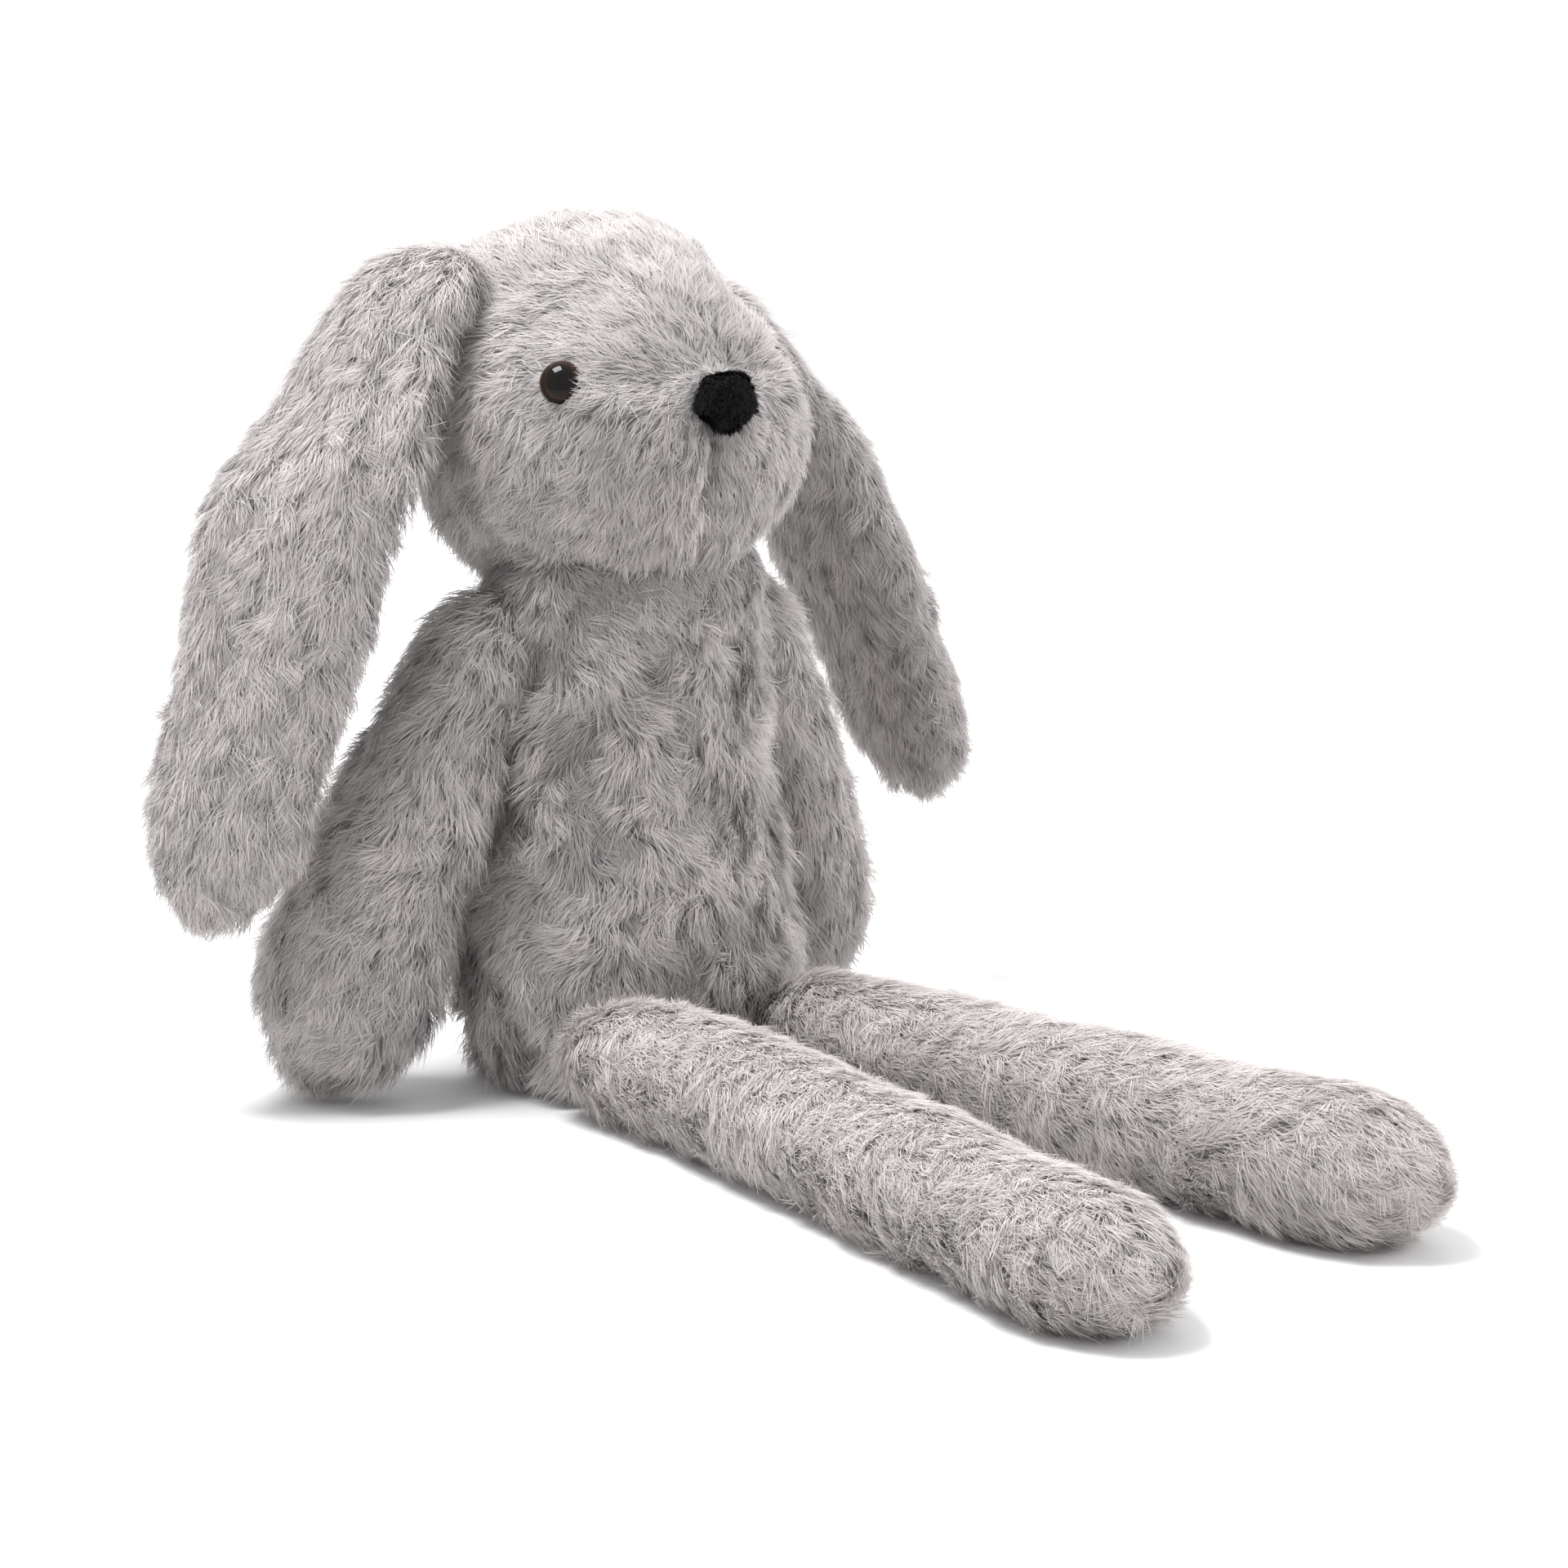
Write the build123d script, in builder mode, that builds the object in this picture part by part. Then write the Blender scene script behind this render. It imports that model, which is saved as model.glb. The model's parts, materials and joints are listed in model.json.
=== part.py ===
from build123d import *
from types import SimpleNamespace
import math
import os

# Long-legged stuffed rabbit, sitting. Millimetres, +Z up, the face looks along -Y and the rabbit's
# left side is +X. The origin is on the surface it sits on, under the middle of the seat.
# The solids stand at the backing cloth plus the root half of the pile.

# ---- cloth, filling and clearances
cloth = 1.6            # backing cloth with the packed roots of its pile
slack = 0.4            # room between a cover and its filling
thread = 0.5           # radius of a seam's thread
tip_open = 0.36        # a rounded end closes to this share of its full section, then a flat
stations = 11          # sections along each sewn form
seam_gap = 0.25        # room between a seam ring and the cloth it lies on

# ---- torso, a pear on a flat seat
torso_high = 117
torso_half_wide = [31, 39.5, 40.5, 37.5, 34, 31, 28.5, 24.5]
torso_deep_share = 0.87                    # depth over width

# ---- head, blunt in front and long behind
head_front = -39
head_back = 52
head_mid_high = 165
head_half_wide = 42
head_half_high = 41
head_front_round = 32
head_back_round = 44
head_end_open = 0.3
head_room = 100                            # reaches past the head from its middle
gusset_wide = 27                           # strip from the nose over the crown to the nape
chin_seam_high = 161                       # below this the two cheeks meet on the middle line

# ---- face
eye_across = 10.5
eye_stand = 3.6                            # height of the glass-like dome above the cloth
eye_rim_high = 0.8
eye_dome = [(0.5, eye_rim_high), (0.43, 2.3), (0.2, eye_stand)]   # radius over eye_across, height
eye_place = Vector(0.79, -0.61, 0.22)      # direction from the middle of the head to the left eye
shank_radius = 1.6
shank_long = 8
shank_room = 0.15
hole_past_skin = 3                         # a shank's hole is cut this far past the outside of the cloth
washer_radius = 5
washer_thick = 1.2
washer_gap = 1.2                           # between the cloth and the washer behind it
nose_wide = 16
nose_high = 15.5
nose_stand = 4.6
nose_corner_round = 3.6
nose_edge_round = 2.6
nose_place = Vector(0, -44, 4)             # from the middle of the head

# ---- neck
neck_radius = 8
neck_gap = 0.5
neck_top = 120.8
neck_round = 2
neck_ring = 13

# ---- limbs and ears. Places are given for the left side (1); the right side (-1) is mirrored.
# The two sides lie a little differently, as a soft toy's do when it is set down.
# Ears: flat flaps that fold over at the root and hang outside the arms.
ear_root = Vector(42.5, 21, 186)
ear_drop = {
    1: [Vector(62, 21.5, 172.5), Vector(75, 21, 146), Vector(87.5, 19, 112), Vector(100.5, 18, 82)],
    -1: [Vector(67, 22, 175), Vector(82, 21, 146), Vector(89, 19, 112), Vector(98, 20, 82)],
}
ear_tip = {1: Vector(110, 19, 54), -1: Vector(105.5, 21, 50)}
ear_across = Vector(-0.52, -0.85, 0)       # from the rear edge to the front edge of an ear
ear_half_wide = [9.5, 16, 20, 21, 20, 17.5]
ear_half_thick = [6, 8, 9, 9, 8.5, 8]
ear_gap = 0.2                              # between the two layers of an ear
ear_ring = 4.5                             # seam ring at the ear's root

# Arms: paddles that hang from the shoulders.
shoulder = Vector(41, 4, 106)
arm_root = shoulder + Vector(-1.5, 0, 8)
arm_tip = {1: Vector(71, 24, 11), -1: Vector(75, 21, 8)}
arm_across = Vector(-0.4, -0.92, 0)
arm_bow = Vector(2.5, 0, 0)
arm_half_wide = [11, 16, 20.5, 21]
arm_half_thick = [9, 12.5, 15.5, 16]
shoulder_ring = 5

# Legs: laid forward on the ground.
hip = Vector(23.5, -46, 16)
leg_root = hip + Vector(-1.2, 14, 0)
leg_tip = {1: Vector(44.5, -236, 17.6), -1: Vector(46.5, -249, 17.7)}
leg_bow = Vector(-1, 0, 0)
leg_half_wide = [13, 16.5, 17, 18, 18.5]
leg_half_high = [13, 15.2, 15.8, 16.5, 17]
hip_ring = 5

# ---- tail and seat weight
tail_radius = 13
tail_high = 21
pellet_bag_half = 25
pellet_bag_high = 17
pellet_bag_round = 5
pellet_bag_cloth = 1
pellet_bag_lift = 1.5                      # above the torso's seat cloth
tail_ring = 8
tail_gap = 1.1                             # between the back and the tail
tail_out = 0.6                             # the tail's middle behind the back, over its radius

# ---- closing seam
stitch_count = 9
stitch_pitch = 4.5
stitch_low = 48
stitch_long = 4
stitch_stand = 0.6

os.makedirs("parts", exist_ok=True)


def eased(values, share):
    """Reads an evenly spaced list of sizes at a share of the length, on a smooth curve through them."""
    spot = min(max(share, 0), 1) * (len(values) - 1)
    low = min(int(spot), len(values) - 2)
    step = spot - low
    start, end = values[low], values[low + 1]
    rise_in = (end - values[low - 1]) / 2 if low else end - start
    rise_out = (values[low + 2] - start) / 2 if low + 2 < len(values) else end - start
    curve = start * (2 * step**3 - 3 * step**2 + 1) + end * (3 * step**2 - 2 * step**3)
    return curve + rise_in * (step**3 - 2 * step**2 + step) + rise_out * (step**3 - step**2)


def opened(gap, cap, least):
    """How far a rounded end has opened at a distance from its tip."""
    if gap >= cap:
        return 1
    return max(least, math.sqrt(1 - (1 - gap / cap) ** 2))


def sewn_form(form, inset, half=None):
    """A closed sewn form drawn in by inset. half keeps one layer of a flat form: 1 or -1."""
    with BuildLine(Plane.XY) as line:
        if len(form.route) > 2:
            Spline(*form.route)
        else:
            Line(*form.route)
    spine = line.edges()[0]
    run = spine.length - 2 * inset
    with BuildPart() as solid:
        for count in range(stations):
            along = run * (1 - math.cos(math.pi * count / (stations - 1))) / 2
            share = (along + inset) / spine.length
            heading = spine % share
            wide = (eased(form.wide, share) - inset) * opened(along, form.caps[0], form.least)
            deep = (eased(form.deep, share) - inset) * opened(along, form.caps[0], form.least)
            wide *= opened(run - along, form.caps[1], form.least)
            deep *= opened(run - along, form.caps[1], form.least)
            level = form.across - heading * heading.dot(form.across)
            with BuildSketch(Plane(origin=spine @ share, x_dir=level, z_dir=heading)):
                Ellipse(wide, deep)
                if half:
                    with Locations((0, -half * (deep - ear_gap / 2))):
                        Rectangle(2.2 * wide, 2 * deep, mode=Mode.SUBTRACT)
        loft()
    return solid.part


def save(builder, label):
    """Labels a finished piece and writes it."""
    builder.part.label = label
    export_step(builder.part, f"parts/{label}.step")


def mirrored(vector, side):
    """The same place on the rabbit's left (1) or right (-1)."""
    return Vector(vector.X * side, vector.Y, vector.Z)


# ---- torso
torso = SimpleNamespace(
    route=[Vector(0, 0, 0), Vector(0, 0, torso_high)],
    across=Vector(1, 0, 0),
    wide=torso_half_wide,
    deep=[width * torso_deep_share for width in torso_half_wide],
    caps=(0, 0),
    least=1,
)
torso_skin = sewn_form(torso, 0)
torso_cavity = sewn_form(torso, cloth)

with BuildPart() as torso_front_panel:
    add(torso_skin)
    add(torso_cavity, mode=Mode.SUBTRACT)
    split(bisect_by=Plane.XZ, keep=Keep.TOP)

with BuildPart() as torso_back_panel:
    add(torso_skin)
    add(torso_cavity, mode=Mode.SUBTRACT)
    split(bisect_by=Plane.XZ, keep=Keep.BOTTOM)

# The seat weight is a small sewn bag of pellets inside the filling.
bag_base = cloth + pellet_bag_lift


def bag_form(inset):
    """A round cushion with soft edges, drawn in by inset."""
    with BuildPart() as bag:
        with BuildSketch(Plane.XY.offset(bag_base + inset)):
            Ellipse(pellet_bag_half - inset, (pellet_bag_half - inset) * torso_deep_share)
        extrude(amount=pellet_bag_high - 2 * inset)
        fillet(bag.edges(), pellet_bag_round)
    return bag.part


with BuildPart() as pellet_bag:
    add(bag_form(0))
    add(bag_form(pellet_bag_cloth), mode=Mode.SUBTRACT)

with BuildPart() as pellet_fill:
    add(bag_form(pellet_bag_cloth + slack / 2))

with BuildPart() as torso_stuffing:
    add(sewn_form(torso, cloth + slack))
    add(bag_form(-slack), mode=Mode.SUBTRACT)

# ---- tail, a ball sewn to the middle of the back, low down
torso_rear = max(eased(torso.deep, (tail_high + step) / torso_high) for step in range(-6, 16, 3))
tail_centre = Vector(0, torso_rear + tail_radius * tail_out, tail_high)


def tail_ball(inset):
    """The tail's ball, cut flat where it is sewn against the back."""
    with BuildPart() as ball:
        with Locations(tail_centre):
            Sphere(tail_radius - inset)
            split(bisect_by=Plane.XZ.offset(-(torso_rear + tail_gap + inset)), keep=Keep.BOTTOM)
    return ball.part


with BuildPart() as tail_cover:
    add(tail_ball(0))
    add(tail_ball(cloth), mode=Mode.SUBTRACT)

with BuildPart() as tail_stuffing:
    add(tail_ball(cloth + slack))

with BuildPart() as tail_seam:
    with Locations(Plane(origin=(0, torso_rear + tail_gap / 2, tail_high), z_dir=(0, 1, 0))):
        Torus(tail_ring, thread * 0.8)

# ---- closing seam, ladder stitches down the back where the filling went in
with BuildPart() as closing_seam:
    for count in range(stitch_count):
        stitch_high = stitch_low + count * stitch_pitch
        rear = eased(torso.deep, stitch_high / torso_high)
        with Locations(Plane(origin=(0, rear + stitch_stand, stitch_high), z_dir=(1, 0, 0))):
            Cylinder(thread * 0.7, stitch_long)

# ---- neck, the throat of filling that the head turns and nods on
with BuildPart() as neck_stuffing:
    with BuildSketch(Plane.XY.offset(torso_high + neck_gap)):
        Circle(neck_radius)
    extrude(amount=neck_top - torso_high - neck_gap)
    fillet(neck_stuffing.edges().group_by(Axis.Z)[-1], neck_round)

with BuildPart() as neck_seam:
    with Locations((0, 0, torso_high + neck_gap + thread)):
        Torus(neck_ring, thread)

# ---- head
head_middle = Vector(0, 5, head_mid_high)
head = SimpleNamespace(
    route=[
        Vector(0, head_front, head_mid_high),
        Vector(0, head_back, head_mid_high),
    ],
    across=Vector(1, 0, 0),
    wide=[head_half_wide - 6, head_half_wide - 1, head_half_wide, head_half_wide - 1],
    deep=[head_half_high - 6, head_half_high, head_half_high, head_half_high - 1],
    caps=(head_front_round, head_back_round),
    least=head_end_open,
)
head_skin = sewn_form(head, 0)
head_cavity = sewn_form(head, cloth)


def skin_spot(aim):
    """The place where a line from the middle of the head leaves the skin, and which way it faces there."""
    far = head_middle + aim.normalized() * head_room
    line = Edge.make_line(head_middle, far)
    inside = line.intersect(head_skin)
    edge = inside.edges()[0] if not isinstance(inside, Edge) else inside
    leave = max((edge @ 0, edge @ 1), key=lambda spot: (spot - head_middle).length)
    face = min(head_skin.faces(), key=lambda side: side.distance_to(leave))
    return Plane(origin=leave, z_dir=face.normal_at(leave))


eye_planes = {side: skin_spot(mirrored(eye_place, side)) for side in (1, -1)}
nose_plane = Plane(origin=skin_spot(nose_place).origin, x_dir=(1, 0, 0), z_dir=(0, -1, 0))


def fitting_room(plane, room):
    """The hole and pocket that a shank and its washer need in cloth and filling."""
    with BuildPart() as hole:
        with BuildSketch(plane.offset(-shank_long - room)):
            Circle(washer_radius + room)
        extrude(amount=shank_long + room - cloth)
        with BuildSketch(plane.offset(-shank_long)):
            Circle(shank_radius + shank_room)
        extrude(amount=shank_long + hole_past_skin)
    return hole.part


head_fittings = [fitting_room(plane, slack) for plane in (eye_planes[1], eye_planes[-1], nose_plane)]

with BuildPart() as gusset_zone:
    with Locations((0, 0, head_mid_high)):
        Box(gusset_wide, 2 * head_room, 2 * head_room)
    with Locations((0, head_middle.Y - head_room / 2, chin_seam_high - head_room / 2)):
        Box(gusset_wide, head_room, head_room, mode=Mode.SUBTRACT)

with BuildPart() as head_cover:
    add(head_skin)
    add(head_cavity, mode=Mode.SUBTRACT)
    for fitting in head_fittings:
        add(fitting, mode=Mode.SUBTRACT)

with BuildPart() as head_gusset:
    add(head_cover.part)
    add(gusset_zone.part, mode=Mode.INTERSECT)

with BuildPart() as head_left_panel:
    add(head_cover.part)
    add(gusset_zone.part, mode=Mode.SUBTRACT)
    split(bisect_by=Plane.YZ, keep=Keep.TOP)

with BuildPart() as head_right_panel:
    add(head_cover.part)
    add(gusset_zone.part, mode=Mode.SUBTRACT)
    split(bisect_by=Plane.YZ, keep=Keep.BOTTOM)

with BuildPart() as head_stuffing:
    add(sewn_form(head, cloth + slack))
    for fitting in head_fittings:
        add(fitting, mode=Mode.SUBTRACT)


# ---- eyes and nose: a moulded front on a shank, with a push-on washer behind the cloth
def eye_fitting(plane):
    """A domed eye with its shank."""
    with BuildPart() as eye:
        with BuildSketch(plane):
            Circle(eye_across / 2)
        extrude(amount=eye_rim_high)
        for share, height in eye_dome:
            with BuildSketch(plane.offset(height)):
                Circle(eye_across * share)
        loft()
        with BuildSketch(plane.offset(-shank_long)):
            Circle(shank_radius)
        extrude(amount=shank_long)
    return eye


def push_washer(plane):
    """A washer pressed on the shank against the inside of the cloth."""
    with BuildPart() as washer:
        with BuildSketch(plane.offset(-cloth - washer_gap - washer_thick)):
            Circle(washer_radius)
            Circle(shank_radius, mode=Mode.SUBTRACT)
        extrude(amount=washer_thick)
    return washer


with BuildPart() as nose:
    with BuildSketch(nose_plane):
        with BuildLine():
            Polyline(
                (-nose_wide * 0.34, nose_high * 0.48),
                (nose_wide * 0.34, nose_high * 0.48),
                (nose_wide * 0.52, nose_high * 0.10),
                (0, -nose_high * 0.58),
                (-nose_wide * 0.52, nose_high * 0.10),
                close=True,
            )
        make_face()
        fillet(vertices(), nose_corner_round)
    extrude(amount=nose_stand)
    fillet(nose.faces().sort_by(Axis.Y)[0].edges(), nose_edge_round)
    with BuildSketch(nose_plane.offset(-shank_long)):
        Circle(shank_radius)
    extrude(amount=shank_long)

# ---- seams where a limb or an ear is sewn on
def seam_ring(plane, radius):
    """A ring of thread lying on a plane."""
    with BuildPart() as seam:
        with Locations(plane.offset(thread + seam_gap)):
            Torus(radius, thread)
    return seam


def torso_spot(out, high):
    """The plane against the front half of the torso, at a distance from the middle and a height."""
    share = high / torso_high
    step = 1 / (3 * stations)
    wide = eased(torso.wide, share)
    deep = eased(torso.deep, share)
    growth = (eased(torso.wide, share + step) - eased(torso.wide, share - step)) / (2 * step * torso_high)
    across = min(abs(out), wide) * math.copysign(1, out)
    front = -deep * math.sqrt(1 - (across / wide) ** 2)
    return Plane(origin=(across, front, high), z_dir=(across / wide**2, front / deep**2, -growth / wide))


# ---- one pass for each side
for side, name in ((1, "left"), (-1, "right")):
    save(eye_fitting(eye_planes[side]), f"{name}_eye")
    save(push_washer(eye_planes[side]), f"{name}_eye_washer")

    # Ear: an outer and an inner layer, sewn round the edge and left empty.
    ear = SimpleNamespace(
        route=[mirrored(spot, side) for spot in [ear_root, *ear_drop[side], ear_tip[side]]],
        across=mirrored(ear_across, side),
        wide=ear_half_wide,
        deep=ear_half_thick,
        caps=(10, 22),
        least=tip_open,
    )
    with BuildPart() as ear_outer:
        add(sewn_form(ear, 0, side))
    with BuildPart() as ear_inner:
        add(sewn_form(ear, 0, -side))
    save(ear_outer, f"{name}_ear_outer")
    save(ear_inner, f"{name}_ear_inner")
    save(seam_ring(skin_spot(mirrored(ear_root - head_middle, side)), ear_ring), f"{name}_ear_seam")

    # Arm: a front and a rear panel round its filling.
    arm = SimpleNamespace(
        route=[
            mirrored(arm_root, side),
            mirrored((arm_root + arm_tip[side]) * 0.5 + arm_bow, side),
            mirrored(arm_tip[side], side),
        ],
        across=mirrored(arm_across, side),
        wide=arm_half_wide,
        deep=arm_half_thick,
        caps=(12, 24),
        least=tip_open,
    )
    arm_skin = sewn_form(arm, 0)
    arm_cavity = sewn_form(arm, cloth)
    arm_run = mirrored(arm_tip[side] - arm_root, side)
    arm_parting = Plane(origin=mirrored(arm_root, side), x_dir=arm_run, z_dir=arm_run.cross(Vector(1, 0, 0)))
    with BuildPart() as arm_front_panel:
        add(arm_skin)
        add(arm_cavity, mode=Mode.SUBTRACT)
        split(bisect_by=arm_parting, keep=Keep.BOTTOM)
    with BuildPart() as arm_rear_panel:
        add(arm_skin)
        add(arm_cavity, mode=Mode.SUBTRACT)
        split(bisect_by=arm_parting, keep=Keep.TOP)
    with BuildPart() as arm_stuffing:
        add(sewn_form(arm, cloth + slack))
    save(arm_front_panel, f"{name}_arm_front_panel")
    save(arm_rear_panel, f"{name}_arm_rear_panel")
    save(arm_stuffing, f"{name}_arm_stuffing")
    save(seam_ring(torso_spot(side * shoulder.X, shoulder.Z), shoulder_ring), f"{name}_shoulder_seam")

    # Leg: an upper and a lower panel round its filling.
    leg = SimpleNamespace(
        route=[
            mirrored(leg_root, side),
            mirrored((leg_root + leg_tip[side]) * 0.5 + leg_bow, side),
            mirrored(leg_tip[side], side),
        ],
        across=Vector(1, 0, 0),
        wide=leg_half_wide,
        deep=leg_half_high,
        caps=(14, 24),
        least=tip_open,
    )
    leg_skin = sewn_form(leg, 0)
    leg_cavity = sewn_form(leg, cloth)
    with BuildPart() as leg_upper_panel:
        add(leg_skin)
        add(leg_cavity, mode=Mode.SUBTRACT)
        split(bisect_by=Plane.XY.offset(hip.Z), keep=Keep.TOP)
    with BuildPart() as leg_lower_panel:
        add(leg_skin)
        add(leg_cavity, mode=Mode.SUBTRACT)
        split(bisect_by=Plane.XY.offset(hip.Z), keep=Keep.BOTTOM)
    with BuildPart() as leg_stuffing:
        add(sewn_form(leg, cloth + slack))
    save(leg_upper_panel, f"{name}_leg_upper_panel")
    save(leg_lower_panel, f"{name}_leg_lower_panel")
    save(leg_stuffing, f"{name}_leg_stuffing")
    save(seam_ring(torso_spot(side * hip.X, hip.Z), hip_ring), f"{name}_hip_seam")

save(torso_front_panel, "torso_front_panel")
save(torso_back_panel, "torso_back_panel")
save(torso_stuffing, "torso_stuffing")
save(pellet_bag, "pellet_bag")
save(pellet_fill, "pellet_fill")
save(tail_cover, "tail_cover")
save(tail_stuffing, "tail_stuffing")
save(tail_seam, "tail_seam")
save(closing_seam, "closing_seam")
save(neck_stuffing, "neck_stuffing")
save(neck_seam, "neck_seam")
save(head_gusset, "head_gusset")
save(head_left_panel, "head_left_panel")
save(head_right_panel, "head_right_panel")
save(head_stuffing, "head_stuffing")
save(nose, "nose")
save(push_washer(nose_plane), "nose_washer")
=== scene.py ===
import json
import math

import bmesh
import bpy
import numpy as np
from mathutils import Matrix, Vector
from mathutils.bvhtree import BVHTree
from mathutils.kdtree import KDTree


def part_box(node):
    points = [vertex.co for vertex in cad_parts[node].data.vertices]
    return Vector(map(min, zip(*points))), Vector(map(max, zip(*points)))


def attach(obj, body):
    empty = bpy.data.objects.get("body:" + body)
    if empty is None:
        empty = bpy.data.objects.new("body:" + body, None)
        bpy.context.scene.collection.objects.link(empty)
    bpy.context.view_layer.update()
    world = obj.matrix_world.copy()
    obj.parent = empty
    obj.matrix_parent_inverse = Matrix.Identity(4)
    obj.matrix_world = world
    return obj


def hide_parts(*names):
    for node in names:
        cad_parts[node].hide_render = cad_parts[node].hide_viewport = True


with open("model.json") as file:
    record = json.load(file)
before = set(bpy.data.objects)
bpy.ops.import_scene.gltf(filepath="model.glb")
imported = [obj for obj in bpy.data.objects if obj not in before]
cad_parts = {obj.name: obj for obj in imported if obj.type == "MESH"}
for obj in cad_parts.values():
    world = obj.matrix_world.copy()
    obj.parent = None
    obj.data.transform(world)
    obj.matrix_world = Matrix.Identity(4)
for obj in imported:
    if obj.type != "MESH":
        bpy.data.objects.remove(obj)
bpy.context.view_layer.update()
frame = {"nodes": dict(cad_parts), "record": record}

# Metres, in the frame of the CAD model: +Z up, the face looks along -Y, the rabbit's left is +X.
MM = 0.001
SIDES = {"left": 1, "right": -1}


# ---------------------------------------------------------------- camera, floor and light
VIEW_TURN = math.radians(-37.0)      # round the rabbit from straight ahead, towards its right side
VIEW_RISE = math.radians(12.0)
VIEW_AWAY = 1.4
VIEW_LENS = 131.25                   # millimetres
VIEW_ASIDE = 0.0383                  # what the camera aims at, right of and above the origin as it sees them
VIEW_ABOVE = 0.0696


def make_camera():
    """A long lens a little above the head, three quarters from the front."""
    right = np.array([math.cos(VIEW_TURN), math.sin(VIEW_TURN), 0])
    back = np.array([math.sin(VIEW_TURN) * math.cos(VIEW_RISE), -math.cos(VIEW_TURN) * math.cos(VIEW_RISE),
                     math.sin(VIEW_RISE)])
    up = np.cross(back, right)
    data = bpy.data.cameras.new("camera")
    data.lens = VIEW_LENS
    data.clip_start = 0.05
    data.clip_end = 20
    camera = bpy.data.objects.new("camera", data)
    camera.location = right * VIEW_ASIDE + up * VIEW_ABOVE + back * VIEW_AWAY
    camera.rotation_euler = Vector(-back).to_track_quat("-Z", "Y").to_euler()
    bpy.context.collection.objects.link(camera)
    bpy.context.scene.camera = camera


def make_light(name, place, aim, size, watts):
    """A square soft box turned to a point."""
    data = bpy.data.lights.new(name, "AREA")
    data.energy = watts
    data.size = size
    light = bpy.data.objects.new(name, data)
    light.location = place
    light.rotation_euler = (Vector(aim) - Vector(place)).to_track_quat("-Z", "Y").to_euler()
    bpy.context.collection.objects.link(light)


FLOOR_REACH = 1.15                   # where the lamps leave it as white as the room beyond it


def make_stage():
    """A plain pale floor in a white room, lit from above, behind and the far side."""
    mesh = bpy.data.meshes.new("floor")
    turns = np.linspace(0, 2 * math.pi, 97)[:-1]
    rim = [(FLOOR_REACH * math.cos(turn), FLOOR_REACH * math.sin(turn), 0) for turn in turns]
    mesh.from_pydata(rim, [], [tuple(range(len(rim)))])
    floor = bpy.data.objects.new("floor", mesh)
    bpy.context.collection.objects.link(floor)
    material, shader, _, _ = new_material("floor")
    shader.inputs["Base Color"].default_value = (0.68, 0.68, 0.68, 1)
    shader.inputs["Roughness"].default_value = 0.9
    mesh.materials.append(material)
    world = bpy.data.worlds.new("room")
    bpy.context.scene.world = world
    world.use_nodes = True
    world.node_tree.nodes["Background"].inputs["Color"].default_value = (1, 1, 1, 1)
    world.node_tree.nodes["Background"].inputs["Strength"].default_value = 1.0
    make_light("key", (-0.40, 0.12, 1.30), (0, -0.06, 0.08), 0.55, 30)
    make_light("rim", (0.75, 0.75, 0.7), (0, -0.05, 0.1), 0.6, 4)
    make_light("fill", (1.1, -0.7, 0.5), (0, -0.05, 0.1), 0.8, 12)
    bpy.context.scene.view_settings.view_transform = "Standard"


# ---------------------------------------------------------------- materials
def new_material(name):
    """(material, its Principled shader, nodes, links)"""
    material = bpy.data.materials.new(name)
    material.use_nodes = True
    nodes, links = material.node_tree.nodes, material.node_tree.links
    return material, nodes["Principled BSDF"], nodes, links


def ramp_node(nodes, stops):
    """A colour ramp with (position, colour) stops."""
    ramp = nodes.new("ShaderNodeValToRGB")
    line = ramp.color_ramp.elements
    while len(line) < len(stops):
        line.new(0.5)
    for element, (spot, colour) in zip(line, stops):
        element.position = spot
        element.color = (*colour, 1)
    return ramp


ROOT_COLOUR = (0.38, 0.363, 0.359)
BODY_COLOUR = (0.56, 0.536, 0.531)
TIP_COLOUR = (0.72, 0.690, 0.684)
SHOW_THROUGH = 0.45                  # the share of the light that goes through a strand
STRAND_MAP = "OFBake"                # across: how light the strand is, up: from its root to its tip


def strand_place(nodes, links):
    """The node that splits a strand's map into how light it is (X) and how far along it is (Y)."""
    place = nodes.new("ShaderNodeUVMap")
    place.uv_map = STRAND_MAP
    split = nodes.new("ShaderNodeSeparateXYZ")
    links.new(place.outputs["UV"], split.inputs["Vector"])
    return split


def fur_material():
    """Pile, dark at the root and pale at the tip. Each strand has its tone, with painted light and shade in
    it, and lets some light through.
    """
    material, shader, nodes, links = new_material("plush_pile")
    split = strand_place(nodes, links)
    along = ramp_node(nodes, [(0.0, ROOT_COLOUR), (0.45, BODY_COLOUR), (1.0, TIP_COLOUR)])
    links.new(split.outputs["Y"], along.inputs["Fac"])
    tone = ramp_node(nodes, [(0.0, (0.62, 0.615, 0.62)), (0.5, (0.95, 0.95, 0.95)),
                             (1.0, (1.20, 1.18, 1.17))])
    links.new(split.outputs["X"], tone.inputs["Fac"])
    mix = nodes.new("ShaderNodeMix")
    mix.data_type = "RGBA"
    mix.blend_type = "MULTIPLY"
    mix.inputs["Factor"].default_value = 1
    links.new(along.outputs["Color"], mix.inputs["A"])
    links.new(tone.outputs["Color"], mix.inputs["B"])
    links.new(mix.outputs["Result"], shader.inputs["Base Color"])
    shader.inputs["Roughness"].default_value = 0.62
    shader.inputs["Specular IOR Level"].default_value = 0.25
    shader.inputs["Sheen Weight"].default_value = 0.2
    shader.inputs["Sheen Roughness"].default_value = 0.4
    through = nodes.new("ShaderNodeBsdfTranslucent")
    links.new(mix.outputs["Result"], through.inputs["Color"])
    both = nodes.new("ShaderNodeMixShader")
    both.inputs["Fac"].default_value = SHOW_THROUGH
    links.new(shader.outputs["BSDF"], both.inputs[1])
    links.new(through.outputs["BSDF"], both.inputs[2])
    links.new(both.outputs["Shader"], nodes["Material Output"].inputs["Surface"])
    return material


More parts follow.
